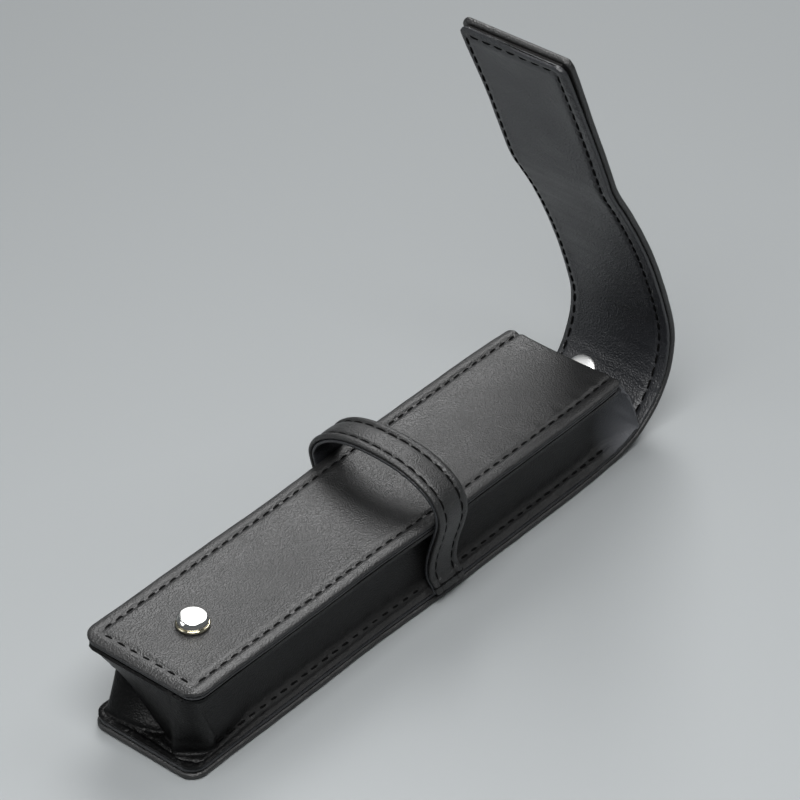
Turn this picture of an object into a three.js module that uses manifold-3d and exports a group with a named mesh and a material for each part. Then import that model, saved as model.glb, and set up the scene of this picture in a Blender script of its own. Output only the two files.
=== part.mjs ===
// Fountain pen case: a slim leather pouch lying on its back panel, with its long flap raised.
//
// Millimetres, +Z up. +Y runs along the case towards its mouth, +X across its width. The origin is
// the centre of the back panel's underside. Every leather part is a real ply with its own thickness,
// and touching plies keep a small gap, so that no two solids share space.

import * as THREE from 'three';
import { mergeVertices } from 'three/addons/utils/BufferGeometryUtils.js';
import Module from 'manifold-3d';

const wasm = await Module();
wasm.setup();

// ---- driving dimensions ----

const CASE_LENGTH = 160;
const CASE_WIDTH = 33.4; // the back panel and flap
const FRONT_WIDTH = 36.4;
const CASE_HEIGHT = 27.6;
const END_CORNER_RADIUS = 4.5;
const MOUTH_CORNER_RADIUS = 1.5;
const BACK_MOUTH_RADIUS = 0.8;

const SKIN = 1.1; // outer leather
const BOARD = 0.6; // stiffener board
const LINING = 0.9; // lining leather
const PLY_GAP = 0.1;
const PANEL = SKIN + BOARD + LINING + 2 * PLY_GAP;
const TURNED_EDGE = 1.3; // width of the skin's edge turned in round the board
const LINING_INSET = 0.5;
const EDGE_ROUND = 0.45;
const SEAM_CORNER = 1.2; // how far a seam cuts across its corner

const GUSSET_LEATHER = 0.8;
const GUSSET_WALL_INSET = 3.9; // wall's mid-surface, in from the back panel's edge
const GUSSET_FLANGE_INSET = 0.45;
const GUSSET_BOW = 0.5; // the side wall's inward bow at mid-height
const GUSSET_PINCH = 3.4; // the end wall's inward fold at mid-height
const GUSSET_BEND = 1.3; // radius of the bend from wall to flange
const GUSSET_CORNER_GAP = 0.4;

const THREAD_WIDTH = 0.7;
const THREAD_HEIGHT = 0.3;
const THREAD_LIFT = 0.12;
const FRONT_SEAM_INSET = 3.4;
const BACK_SEAM_INSET = 2.0;
const FLAP_SEAM_INSET = 3.0;
const KEEPER_SEAM_INSET = 2.2;

const STUD_Y = -60.8;
const STUD_HOLE_RADIUS = 1.5;
const STUD_POST_RADIUS = 1.2;
const STUD_RING_TOP = 0.7;
const STUD_CAP_UNDERSIDE = 0.8;

const KEEPER_WIDTH = 10.5;
const KEEPER_FOOT_Y = 11.6; // middle of the strap where it is sewn into the back seam
const KEEPER_PLY = 1.0;
const KEEPER_LEAN = -0.078; // shift along Y for each millimetre of height
const KEEPER_FOOT_Z = 4.5;
// Half of the keeper's arch as x, z points on its mid-surface, from its crown to its right foot.
const KEEPER_ARCH = [
  [0, 39.5], [7.5, 38.8], [13.5, 36.7], [17.6, 33.7], [19.5, 30.2], [19.7, 26.4],
  [18.5, 21.8], [16.9, 17], [15.8, 12.6], [15.4, 9.2], [15.8, 6.8], [16.9, 5.3],
];

// The flap's side view: stretches of one curvature each, as a length and the turn over it in degrees.
const FLAP_STRETCHES = [
  [45, 108], // sweep up from the mouth
  [54, 17], // gentle lean back over the case
  [8, -12], // knee
  [47.5, 2], // tip
];
const BACK_OVERHANG = 2.5; // flat run of the back panel past the mouth
const FLAP_HINGES = [3, 17, 31, 45, 103]; // distances along the flap at which it bends
const HINGE_GAP = 0.5; // free space on each side of a hinge line
const FLAP_STIFF_FROM = 3; // the segments from this index on hold a stiffener
const FLAP_STEP = 2.8;
const EAR_WIDTH = 3.6;

const RIVET_ALONG = 21.5; // distance along the flap
const RIVET_X = -7;
const RIVET_RADIUS = 4.15;
const RIVET_LIFT = 0.5;
const RIVET_HOLE_RADIUS = 1.2;
const RIVET_POST_RADIUS = 0.9;

const ROUND_SIDES = 32;
const CORNER_STEPS = 5;

// ---- materials ----

const leather = (color, roughness) => new THREE.MeshStandardMaterial({ color, roughness, metalness: 0 });
const metal = (color, roughness) => new THREE.MeshStandardMaterial({ color, roughness, metalness: 1 });

const SKIN_LEATHER = leather(0x1b1b1c, 0.45);
const LINING_LEATHER = leather(0x17181b, 0.55);
const GUSSET_SKIN = leather(0x151516, 0.45);
const STIFFENER_BOARD = leather(0x5a554d, 0.9);
const THREAD = leather(0x09090a, 0.7);
const POLISHED = metal(0xe8e8e6, 0.08);
const WARM_NICKEL = metal(0xcfc49a, 0.18);

// ---- shape helpers ----

// A rounded rectangle centred on x = 0, from lowY to highY, with its own radius at each end.
function panelOutline(halfWidth, lowY, highY, lowRadius, highRadius) {
  const corners = [
    [-halfWidth + lowRadius, lowY + lowRadius, lowRadius],
    [halfWidth - lowRadius, lowY + lowRadius, lowRadius],
    [halfWidth - highRadius, highY - highRadius, highRadius],
    [-halfWidth + highRadius, highY - highRadius, highRadius],
  ];
  const points = corners.flatMap(([x, y, radius], corner) =>
    Array.from({ length: CORNER_STEPS + 1 }, (_, i) => {
      const angle = Math.PI * (1 + corner / 2 + i / CORNER_STEPS / 2);
      return new THREE.Vector2(x + radius * Math.cos(angle), y + radius * Math.sin(angle));
    }),
  );
  return new THREE.Shape(points);
}

function plate(outline, depth, bevel = 0) {
  const geometry = new THREE.ExtrudeGeometry(outline, {
    depth: depth - 2 * bevel,
    bevelEnabled: bevel > 0,
    bevelThickness: bevel,
    bevelSize: bevel,
    bevelOffset: -bevel,
    bevelSegments: 2,
  });
  return geometry.translate(0, 0, bevel);
}

function disc(radius, low, high) {
  const profile = [[0, low], [radius, low], [radius, high], [0, high]];
  return lathe(profile);
}

// A solid turned about +Z from r, z points that start and end on the axis or close on themselves.
function lathe(profile) {
  const points = profile.map(([r, z]) => new THREE.Vector2(r, z));
  return new THREE.LatheGeometry(points, ROUND_SIDES).rotateX(Math.PI / 2);
}

function toManifold(geometry) {
  const bare = new THREE.BufferGeometry();
  bare.setAttribute('position', geometry.getAttribute('position').clone());
  if (geometry.index) bare.setIndex(geometry.index.clone());
  const welded = mergeVertices(bare, 1e-4);
  return new wasm.Manifold(
    new wasm.Mesh({
      numProp: 3,
      vertProperties: new Float32Array(welded.getAttribute('position').array),
      triVerts: new Uint32Array(welded.index.array),
    }),
  );
}

function fromManifold(solid) {
  const mesh = solid.getMesh();
  const geometry = new THREE.BufferGeometry();
  geometry.setAttribute('position', new THREE.BufferAttribute(mesh.vertProperties, mesh.numProp));
  geometry.setIndex(new THREE.BufferAttribute(mesh.triVerts, 1));
  geometry.computeVertexNormals();
  return geometry;
}

function cut(geometry, ...tools) {
  const solid = tools.reduce((rest, tool) => rest.subtract(toManifold(tool)), toManifold(geometry));
  return fromManifold(solid);
}

// A ply of constant thickness: the band between two offsets to the left of a path of
// { x, y, angle } stations.
function plyShape(path, low, high) {
  const offset = (p, by) => new THREE.Vector2(p.x - by * Math.sin(p.angle), p.y + by * Math.cos(p.angle));
  const side = path.map((p) => offset(p, low));
  const back = path.map((p) => offset(p, high)).reverse();
  return new THREE.Shape([...side, ...back]);
}

// Turns a profile drawn in x, y and extruded along z into one drawn in Y, Z and extruded along X.
const ALONG_X = new THREE.Matrix4().makeBasis(
  new THREE.Vector3(0, 1, 0),
  new THREE.Vector3(0, 0, 1),
  new THREE.Vector3(1, 0, 0),
);

function extrudeAlongX(shape, width) {
  const geometry = new THREE.ExtrudeGeometry(shape, { depth: width, bevelEnabled: false });
  return geometry.translate(0, 0, -width / 2).applyMatrix4(ALONG_X);
}

// A profile drawn in x, z and extruded along +Y from lowY to highY.
function extrudeAlongY(shape, lowY, highY) {
  const geometry = new THREE.ExtrudeGeometry(shape, { depth: highY - lowY, bevelEnabled: false });
  return geometry.rotateX(Math.PI / 2).translate(0, highY, 0);
}

function named(name, geometry, material) {
  const mesh = new THREE.Mesh(geometry, material);
  mesh.name = name;
  return mesh;
}

// ---- seam threads ----

// Each row of stitches is one strand, drawn as a thin band lying just off the leather.

// A strand along an x, y path on a level surface at height z.
function levelThread(points, z) {
  const band = plyShape(withAngles(points), -THREAD_WIDTH / 2, THREAD_WIDTH / 2);
  return plate(band, THREAD_HEIGHT).translate(0, 0, z + THREAD_LIFT);
}

// A strand along both sides of a panel and across its closed end, up to endY.
function panelSeam(width, inset, z, endY) {
  const x = width / 2 - inset;
  const lowY = -CASE_LENGTH / 2 + inset;
  const corner = SEAM_CORNER;
  const points = [
    [-x, endY], [-x, lowY + corner], [-x + corner, lowY], [x - corner, lowY], [x, lowY + corner], [x, endY],
  ];
  return levelThread(points.map(([px, py]) => new THREE.Vector2(px, py)), z);
}

// Two strands along the sides of the back panel from startY to endY.
function sideSeams(inset, z, startY, endY) {
  const x = CASE_WIDTH / 2 - inset;
  return [x, -x].map((at) => {
    return levelThread([new THREE.Vector2(at, startY), new THREE.Vector2(at, endY)], z);
  });
}

// ---- panels ----

// A panel drawn with its skin facing down: skin with turned edges, board and lining.
function panelPlies(width, highY, highRadius) {
  const lowY = -CASE_LENGTH / 2;
  const half = width / 2;
  const outline = (inset, top = inset) =>
    panelOutline(
      half - inset,
      lowY + inset,
      highY - top,
      Math.max(END_CORNER_RADIUS - inset, 0.4),
      Math.max(highRadius - top, 0.4),
    );
  const tray = SKIN + PLY_GAP + BOARD;
  const pocket = plate(outline(TURNED_EDGE), BOARD + 2 * PLY_GAP).translate(0, 0, SKIN);
  return {
    skin: cut(plate(outline(0), tray, EDGE_ROUND), pocket),
    board: plate(outline(TURNED_EDGE + PLY_GAP), BOARD).translate(0, 0, SKIN + PLY_GAP),
    lining: plate(outline(LINING_INSET), LINING, 0.2).translate(0, 0, PANEL - LINING),
  };
}

function backPanel() {
  const { skin, board, lining } = panelPlies(
    CASE_WIDTH,
    CASE_LENGTH / 2 + BACK_OVERHANG,
    BACK_MOUTH_RADIUS,
  );
  const group = new THREE.Group();
  group.add(
    named('back_panel_leather', skin, SKIN_LEATHER),
    named('back_panel_stiffener', board, STIFFENER_BOARD),
    named('back_panel_lining', lining, LINING_LEATHER),
  );
  return group;
}

// The same plies turned over, so that the skin faces up, with the stud's hole through them.
function frontPanel() {
  const { skin, board, lining } = panelPlies(FRONT_WIDTH, CASE_LENGTH / 2, MOUTH_CORNER_RADIUS);
  const hole = disc(STUD_HOLE_RADIUS, -1, PANEL + 1).translate(0, STUD_Y, 0);
  const group = new THREE.Group();
  group.add(
    named('front_panel_leather', cut(skin, hole), SKIN_LEATHER),
    named('front_panel_stiffener', cut(board, hole), STIFFENER_BOARD),
    named('front_panel_lining', cut(lining, hole), LINING_LEATHER),
  );
  group.rotation.y = Math.PI;
  group.position.z = CASE_HEIGHT;
  return group;
}

// ---- gusset ----

const GUSSET_LOW = PANEL + PLY_GAP;
const GUSSET_HIGH = CASE_HEIGHT - PANEL - PLY_GAP;

// The gusset's section as x, z points of its mid-surface: flange, wall and flange. The flanges'
// free edges are at lowX and highX, the wall is at wallX and is pushed inwards by bow at mid-height.
function gussetSection(lowX, highX, wallX, bow) {
  const outward = Math.sign(lowX - wallX);
  const low = GUSSET_LOW + GUSSET_LEATHER / 2;
  const high = GUSSET_HIGH - GUSSET_LEATHER / 2;
  const bendX = wallX + outward * GUSSET_BEND;
  const lowCorner = new THREE.CubicBezierCurve(
    new THREE.Vector2(bendX, low),
    new THREE.Vector2(wallX, low),
    new THREE.Vector2(wallX, low),
    new THREE.Vector2(wallX, low + GUSSET_BEND),
  );
  const wall = new THREE.SplineCurve([
    new THREE.Vector2(wallX, low + GUSSET_BEND),
    new THREE.Vector2(wallX - outward * bow * 0.55, low + (high - low) * 0.27),
    new THREE.Vector2(wallX - outward * bow, (low + high) / 2),
    new THREE.Vector2(wallX - outward * bow * 0.55, high - (high - low) * 0.27),
    new THREE.Vector2(wallX, high - GUSSET_BEND),
  ]);
  const lower = lowCorner.getPoints(3);
  const upper = lower.map((p) => new THREE.Vector2(p.x, low + high - p.y)).reverse();
  const points = [
    new THREE.Vector2(lowX, low),
    ...lower,
    ...wall.getPoints(8).slice(1, -1),
    ...upper,
    new THREE.Vector2(highX, high),
  ];
  return withAngles(points);
}

// Gives each point of a polyline the direction of the path through it.
function withAngles(points) {
  return points.map((p, i) => {
    const before = points[Math.max(i - 1, 0)];
    const after = points[Math.min(i + 1, points.length - 1)];
    return { x: p.x, y: p.y, angle: Math.atan2(after.y - before.y, after.x - before.x) };
  });
}

// The outline that the gusset's flange keeps to on a panel of the given width.
function flangeOutline(width) {
  return panelOutline(
    width / 2 - GUSSET_FLANGE_INSET,
    -CASE_LENGTH / 2 + GUSSET_FLANGE_INSET,
    CASE_LENGTH / 2 - 0.2,
    END_CORNER_RADIUS - GUSSET_FLANGE_INSET,
    0.4,
  );
}

function gusset() {
  const half = CASE_WIDTH / 2;
  const group = new THREE.Group();
  const lowerHalf = toManifold(plate(flangeOutline(CASE_WIDTH), CASE_HEIGHT / 2));
  const upperHalf = toManifold(plate(flangeOutline(FRONT_WIDTH), CASE_HEIGHT / 2));
  const footprint = lowerHalf.add(upperHalf.translate([0, 0, CASE_HEIGHT / 2]));
  // The side walls stop at the end wall, and only their flanges run on into the corners.
  const reliefEnd = -CASE_LENGTH / 2 + GUSSET_WALL_INSET - GUSSET_LEATHER / 2;
  const reliefHeight = GUSSET_HIGH - GUSSET_LOW - 2 * GUSSET_LEATHER;
  const relief = new THREE.BoxGeometry(FRONT_WIDTH, 2 * GUSSET_WALL_INSET, reliefHeight)
    .translate(0, reliefEnd - GUSSET_WALL_INSET, (GUSSET_LOW + GUSSET_HIGH) / 2);
  for (const [name, side] of [['gusset_side_right', 1], ['gusset_side_left', -1]]) {
    const section = gussetSection(
      side * (half - GUSSET_FLANGE_INSET),
      side * (FRONT_WIDTH / 2 - GUSSET_FLANGE_INSET),
      side * (half - GUSSET_WALL_INSET),
      GUSSET_BOW,
    );
    const band = plyShape(section, -GUSSET_LEATHER / 2, GUSSET_LEATHER / 2);
    const strip = extrudeAlongY(band, -CASE_LENGTH / 2 + GUSSET_FLANGE_INSET, CASE_LENGTH / 2 - 0.2);
    const trimmed = toManifold(strip).intersect(footprint).subtract(toManifold(relief));
    group.add(named(name, fromManifold(trimmed), GUSSET_SKIN));
  }
  const endEdge = -(CASE_LENGTH / 2 - GUSSET_FLANGE_INSET);
  const endSection = gussetSection(
    endEdge,
    endEdge,
    -(CASE_LENGTH / 2 - GUSSET_WALL_INSET),
    GUSSET_PINCH,
  );
  const endBand = plyShape(endSection, -GUSSET_LEATHER / 2, GUSSET_LEATHER / 2);
  const clearHalf = half - GUSSET_WALL_INSET - GUSSET_BOW - GUSSET_LEATHER / 2 - GUSSET_CORNER_GAP;
  group.add(named('gusset_end', extrudeAlongX(endBand, 2 * clearHalf), GUSSET_SKIN));
  return group;
}

// ---- stud on the front panel ----

function stud() {
  const group = new THREE.Group();
  const ring = [
    [1.6, 0.1], [4.2, 0.1], [4.25, 0.35], [3.98, STUD_RING_TOP], [1.6, STUD_RING_TOP], [1.6, 0.1],
  ];
  const cap = [
    [0, STUD_CAP_UNDERSIDE], [3.7, STUD_CAP_UNDERSIDE], [3.85, 1.05], [3.82, 1.75], [3.5, 2.25],
    [3.25, 2.4], [0, 2.45],
  ];
  const innerHead = [
    [0, -PANEL - 0.9], [2.2, -PANEL - 0.8], [3.4, -PANEL - 0.45], [3.6, -PANEL - 0.1],
    [0, -PANEL - 0.1],
  ];
  group.add(
    named('stud_base_ring', lathe(ring), WARM_NICKEL),
    named('stud_cap', lathe(cap), POLISHED),
    named('stud_post', disc(STUD_POST_RADIUS, -PANEL, STUD_CAP_UNDERSIDE - PLY_GAP), WARM_NICKEL),
    named('stud_inner_head', lathe(innerHead), WARM_NICKEL),
  );
  group.position.set(0, STUD_Y, CASE_HEIGHT);
  return group;
}

// ---- keeper strap ----

function keeperPath() {
  const right = KEEPER_ARCH.map(([x, z]) => new THREE.Vector2(x, z));
  const left = right.slice(1).map((p) => new THREE.Vector2(-p.x, p.y));
  return withAngles(new THREE.SplineCurve([...left.reverse(), ...right]).getSpacedPoints(56));
}

// Leans the strap: its crown sits nearer the closed end than its feet.
const KEEPER_SHEAR = new THREE.Matrix4().set(
  1, 0, 0, 0,
  0, 1, KEEPER_LEAN, KEEPER_FOOT_Y - KEEPER_LEAN * KEEPER_FOOT_Z,
  0, 0, 1, 0,
  0, 0, 0, 1,
);

function leanedStrip(shape, lowY, highY) {
  return extrudeAlongY(shape, lowY, highY).applyMatrix4(KEEPER_SHEAR);
}

function keeper() {
  const path = keeperPath();
  const half = KEEPER_WIDTH / 2;
  const outerPly = plyShape(path, PLY_GAP / 2, PLY_GAP / 2 + KEEPER_PLY);
  const innerPly = plyShape(path, -PLY_GAP / 2 - KEEPER_PLY, -PLY_GAP / 2);
  const surface = PLY_GAP / 2 + KEEPER_PLY + THREAD_LIFT;
  const strand = plyShape(path.slice(1, -1), surface, surface + THREAD_HEIGHT);
  const group = new THREE.Group();
  group.add(
    named('keeper_strap_leather', leanedStrip(outerPly, -half, half), SKIN_LEATHER),
    named('keeper_strap_lining', leanedStrip(innerPly, -half, half), LINING_LEATHER),
  );
  for (const [name, side] of [['keeper_seam_thread_near', -1], ['keeper_seam_thread_far', 1]]) {
    const y = side * (half - KEEPER_SEAM_INSET);
    group.add(named(name, leanedStrip(strand, y - THREAD_WIDTH / 2, y + THREAD_WIDTH / 2), THREAD));
  }
  return group;
}

// ---- flap ----

// The point of the flap's mid-surface at a distance along it from the mouth: y, z and direction.
function flapStation(distance) {
  let y = CASE_LENGTH / 2;
  let z = PANEL / 2;
  let angle = 0;
  let left = distance;
  for (const [length, turnDegrees] of FLAP_STRETCHES) {
    const run = Math.min(left, length);
    const curvature = THREE.MathUtils.degToRad(turnDegrees) / length;
    const next = angle + curvature * run;
    y += (Math.sin(next) - Math.sin(angle)) / curvature;
    z += (Math.cos(angle) - Math.cos(next)) / curvature;
    angle = next;
    left -= run;
    if (left <= 0) break;
  }
  return { x: y, y: z, angle };
}

const FLAP_LENGTH = FLAP_STRETCHES.reduce((sum, [length]) => sum + length, 0);

function flapPath(from, to) {
  const steps = Math.max(2, Math.round((to - from) / FLAP_STEP));
  return Array.from({ length: steps + 1 }, (_, i) => flapStation(from + ((to - from) * i) / steps));
}

// A frame on the flap's inner face: +Y along it, +Z out of it.
function flapPlace(distance, x) {
  const at = flapStation(distance);
  const offset = PANEL / 2;
  return new THREE.Matrix4()
    .makeTranslation(x, at.x - offset * Math.sin(at.angle), at.y + offset * Math.cos(at.angle))
    .multiply(new THREE.Matrix4().makeRotationX(at.angle));
}

// The strands on the flap's inner face: one along each side, joined across the tip.
function flapThreads(from, to, isTip) {
  const x = CASE_WIDTH / 2 - FLAP_SEAM_INSET;
  const low = PANEL / 2 + THREAD_LIFT;
  const strand = (start, end) => plyShape(flapPath(start, end), low, low + THREAD_HEIGHT);
  const end = isTip ? FLAP_LENGTH - FLAP_SEAM_INSET : to - 0.5;
  const sides = [x, -x].map((at) => {
    return extrudeAlongX(strand(from + 0.5, end), THREAD_WIDTH).translate(at, 0, 0);
  });
  if (!isTip) return sides;
  const across = extrudeAlongX(strand(end - THREAD_WIDTH, end), 2 * x);
  return [fromManifold(sides.reduce((sum, side) => sum.add(toManifold(side)), toManifold(across)))];
}

function flap() {
  const group = new THREE.Group();
  const skinHigh = -PANEL / 2 + SKIN;
  const liningLow = PANEL / 2 - LINING;
  const rivetHole = disc(RIVET_HOLE_RADIUS, -LINING - 1, 1).applyMatrix4(flapPlace(RIVET_ALONG, RIVET_X));
  FLAP_HINGES.forEach((hinge, i) => {
    const isTip = i === FLAP_HINGES.length - 1;
    const from = hinge + HINGE_GAP;
    const to = isTip ? FLAP_LENGTH : FLAP_HINGES[i + 1] - HINGE_GAP;
    const path = flapPath(from, to);
    const holdsRivet = RIVET_ALONG > from && RIVET_ALONG < to;
    const skin = extrudeAlongX(plyShape(path, -PANEL / 2, skinHigh), CASE_WIDTH);
    const lining = extrudeAlongX(plyShape(path, liningLow, PANEL / 2), CASE_WIDTH - 2 * LINING_INSET);
    group.add(
      named(`flap_leather_${i + 1}`, skin, SKIN_LEATHER),
      named(`flap_lining_${i + 1}`, holdsRivet ? cut(lining, rivetHole) : lining, LINING_LEATHER),
    );
    flapThreads(from, to, isTip).forEach((strand, k) => {
      const side = isTip ? '' : ['_right', '_left'][k];
      group.add(named(`flap_seam_thread_${i + 1}${side}`, strand, THREAD));
    });
    if (i < FLAP_STIFF_FROM) return;
    const boardPath = flapPath(from + TURNED_EDGE, to - TURNED_EDGE);
    const boardBand = plyShape(boardPath, skinHigh + PLY_GAP, liningLow - PLY_GAP);
    const board = extrudeAlongX(boardBand, CASE_WIDTH - 4 * TURNED_EDGE);
    group.add(named(`flap_stiffener_${i + 1}`, board, STIFFENER_BOARD));
  });
  return group;
}

// The tongues of the side gussets that run past the mouth, sewn onto the flap's first segment.
function gussetEars() {
  const group = new THREE.Group();
  const path = flapPath(FLAP_HINGES[0] + HINGE_GAP, FLAP_HINGES[1] - 2);
  const low = PANEL / 2 + THREAD_LIFT + THREAD_HEIGHT + PLY_GAP;
  const band = plyShape(path, low, low + GUSSET_LEATHER);
  const x = CASE_WIDTH / 2 - GUSSET_FLANGE_INSET - EAR_WIDTH / 2;
  for (const [name, side] of [['gusset_ear_right', 1], ['gusset_ear_left', -1]]) {
    group.add(named(name, extrudeAlongX(band, EAR_WIDTH).translate(side * x, 0, 0), GUSSET_SKIN));
  }
  return group;
}

// The rivet on the flap's inner face: domed head, post and the washer between the two leaves.
function flapRivet() {
  const group = new THREE.Group();
  const place = flapPlace(RIVET_ALONG, RIVET_X);
  const head = [
    [0, RIVET_LIFT], [RIVET_RADIUS - 0.15, RIVET_LIFT], [RIVET_RADIUS, RIVET_LIFT + 0.3],
    [RIVET_RADIUS * 0.86, RIVET_LIFT + 0.85], [RIVET_RADIUS * 0.55, RIVET_LIFT + 1.25],
    [0, RIVET_LIFT + 1.4],
  ];
  const slotMiddle = -LINING - (PANEL - SKIN - LINING) / 2;
  group.add(
    named('flap_rivet_head', lathe(head), POLISHED),
    named(
      'flap_rivet_post',
      disc(RIVET_POST_RADIUS, slotMiddle + 0.3, RIVET_LIFT - PLY_GAP),
      WARM_NICKEL,
    ),
    named('flap_rivet_washer', disc(2.6, slotMiddle - 0.2, slotMiddle + 0.2), WARM_NICKEL),
  );
  group.applyMatrix4(place);
  return group;
}

// ---- the whole case ----

const group = new THREE.Group();
const flangeTop = GUSSET_LOW + GUSSET_LEATHER;
const seamEnd = CASE_LENGTH / 2 - 2;
const keeperNear = KEEPER_FOOT_Y - KEEPER_WIDTH / 2 - 1;
const keeperFar = KEEPER_FOOT_Y + KEEPER_WIDTH / 2 + 1;
const [mouthSeamRight, mouthSeamLeft] = sideSeams(BACK_SEAM_INSET, flangeTop, keeperFar, seamEnd);
group.add(
  backPanel(),
  frontPanel(),
  gusset(),
  stud(),
  keeper(),
  flap(),
  gussetEars(),
  flapRivet(),
  named('front_seam_thread', panelSeam(FRONT_WIDTH, FRONT_SEAM_INSET, CASE_HEIGHT, seamEnd), THREAD),
  named('back_seam_thread', panelSeam(CASE_WIDTH, BACK_SEAM_INSET, flangeTop, keeperNear), THREAD),
  named('mouth_seam_thread_right', mouthSeamRight, THREAD),
  named('mouth_seam_thread_left', mouthSeamLeft, THREAD),
);

export default group;
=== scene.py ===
"""Looks of the fountain pen case: leather, seams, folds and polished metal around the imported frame.

Lengths are in millimetres until mesh_piece() turns them into metres. The frame is the part's own:
+Y towards the mouth, +X across the width, +Z up, with the case lying on the plane z = 0.
"""

import math

import bpy
import numpy as np
from mathutils import Matrix, Vector


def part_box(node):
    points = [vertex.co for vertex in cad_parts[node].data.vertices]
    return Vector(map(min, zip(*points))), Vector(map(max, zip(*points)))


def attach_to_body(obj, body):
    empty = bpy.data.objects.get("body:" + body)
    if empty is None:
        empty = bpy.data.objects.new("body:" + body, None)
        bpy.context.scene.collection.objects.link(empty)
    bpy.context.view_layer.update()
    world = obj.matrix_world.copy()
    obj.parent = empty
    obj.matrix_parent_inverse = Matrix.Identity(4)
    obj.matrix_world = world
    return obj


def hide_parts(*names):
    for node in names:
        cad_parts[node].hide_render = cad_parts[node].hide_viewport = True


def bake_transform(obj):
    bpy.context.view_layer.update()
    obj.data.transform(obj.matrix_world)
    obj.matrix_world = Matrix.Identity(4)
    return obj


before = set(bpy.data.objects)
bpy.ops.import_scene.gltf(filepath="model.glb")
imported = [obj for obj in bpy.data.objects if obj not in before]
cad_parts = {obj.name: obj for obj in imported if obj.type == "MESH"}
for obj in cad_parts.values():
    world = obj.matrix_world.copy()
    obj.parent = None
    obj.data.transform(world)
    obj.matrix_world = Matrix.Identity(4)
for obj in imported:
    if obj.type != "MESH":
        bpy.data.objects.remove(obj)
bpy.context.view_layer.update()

MM = 0.001


def box_mm(node):
    """A CAD node's lowest and highest corners, in millimetres."""
    low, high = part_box(node)
    return np.array(low) / MM, np.array(high) / MM


# ---- sizes taken from the frame ----

back_low, back_high = box_mm("back_panel_leather")
_, front_high = box_mm("front_panel_leather")
HALF_WIDTH = back_high[0]
FRONT_HALF = front_high[0]
CLOSED_Y = back_low[1]
MOUTH_Y = front_high[1]
TOP_Z = front_high[2]
PANEL = box_mm("back_panel_lining")[1][2]
GUSSET_LOW_Z, GUSSET_HIGH_Z = (corner[2] for corner in box_mm("gusset_side_right"))
STUD_CENTRE = sum(box_mm("stud_cap")) / 2

# ---- sizes that follow the CAD source ----

END_RADIUS = 4.5
MOUTH_RADIUS = 1.5
# The flap's path past the mouth: each stretch's length and how many degrees it turns.
FLAP_STRETCHES = ((45, 108), (54, 17), (8, -12), (47.5, 2))
FLAP_LENGTH = sum(length for length, _ in FLAP_STRETCHES)
FLAP_HINGES = (3, 17, 31, 45, 103)
# The keeper's middle surface from the top of its arch down the right leg, as x, z.
KEEPER_ARCH = (
    (0, 39.5), (7.5, 38.8), (13.5, 36.7), (17.6, 33.7), (19.5, 30.2), (19.7, 26.4),
    (18.5, 21.8), (16.9, 17), (15.8, 12.6), (15.4, 9.2), (15.8, 6.8), (16.9, 5.3),
)
KEEPER_TOE = (17.8, 3.3)
KEEPER_WIDTH = 10.5
KEEPER_FOOT_Y = 11.6
KEEPER_FOOT_Z = 4.5
KEEPER_LEAN = -0.078

# ---- sizes of the looks alone ----

TIP_RADIUS = 3.0
# The keeper's left leg from its toe up to the arch, wider than the right one, as -x, z.
KEEPER_LEFT = (
    (17.8, 3.3), (16.9, 5.3), (15.8, 6.8), (15.4, 9.2), (15.8, 12.6), (17.0, 17), (18.9, 21.8),
    (20.2, 26.4), (20.5, 30.2), (18.3, 34.0), (13.8, 37.2), (7.5, 39.1),
)
# Its two leaves, measured from the middle surface, and how round their edges are.
KEEPER_SKIN, KEEPER_SKIN_ROLL = (-0.05, 1.05), 0.6
KEEPER_LINING, KEEPER_LINING_ROLL = (-1.05, -0.15), 0.4
RIVET_ALONG = 19.4
RIVET_X = -6.8
RIVET_RADIUS = 4.35

# ---- leather and seams ----

# The two leaves of a panel, measured from its middle surface, and how round their edges are.
SKIN_LOW, SKIN_HIGH = -PANEL / 2, 0.2
LINING_LOW, LINING_HIGH = 0.32, PANEL / 2
LINING_INSET = 0.5
FRONT_ROLL = 1.1
FLAP_ROLL = 0.8
LINING_ROLL = 0.5
# The swelling of the sides: its size, and where it grows and dies away, counted from the mouth.
SIDE_SWELL = 0.7
SWELL_GROWS = (-95, -60)
SWELL_ENDS = (-12, 6)

STITCH_PITCH = 3.7
STITCH_LENGTH = 2.7
STITCH_RADIUS = 0.25
FLAP_STITCH_LENGTH = 2.9
KEEPER_STITCH_LENGTH = 3.3
FINE_STITCH_RADIUS = 0.24
# How far each seam's line is from the leather's edge.
FRONT_SEAM_INSET = 3.4
FLAP_SEAM_RIGHT = 3.7
FLAP_SEAM_LEFT = 2.1
FLAP_SEAM_TIP = 3.0
BACK_SEAM_INSET = 2.6
KEEPER_SEAM_INSET = 2.2
# How far a seam stops before the mouth or the keeper's toe, and where the flap's seams start.
SEAM_END_GAP = 1.5
KEEPER_SEAM_GAP = 2.5
FLAP_SEAM_START = 4
FLAP_OUTER_SEAM_START = 10
# How deep the stitches sit in the leather.
FRONT_STITCH_SINK = 0.3
FLAP_STITCH_SINK = 0.16
FLANGE_STITCH_SINK = 0.2


# ---- mesh helpers ----

SHARP_ANGLE = math.radians(62)


def mesh_piece(name, points, faces, material, slot):
    """A shaded piece from points in millimetres. Its rest place is stored for the textures."""
    mesh = bpy.data.meshes.new(name)
    mesh.from_pydata((np.asarray(points, float) * MM).tolist(), [], faces)
    mesh.validate()
    mesh.update()
    mesh.shade_smooth()
    mesh.set_sharp_from_angle(angle=SHARP_ANGLE)
    piece = bpy.data.objects.new(name, mesh)
    bpy.context.scene.collection.objects.link(piece)
    mesh.materials.append(material)
    store_rest(mesh)
    return piece


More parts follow.
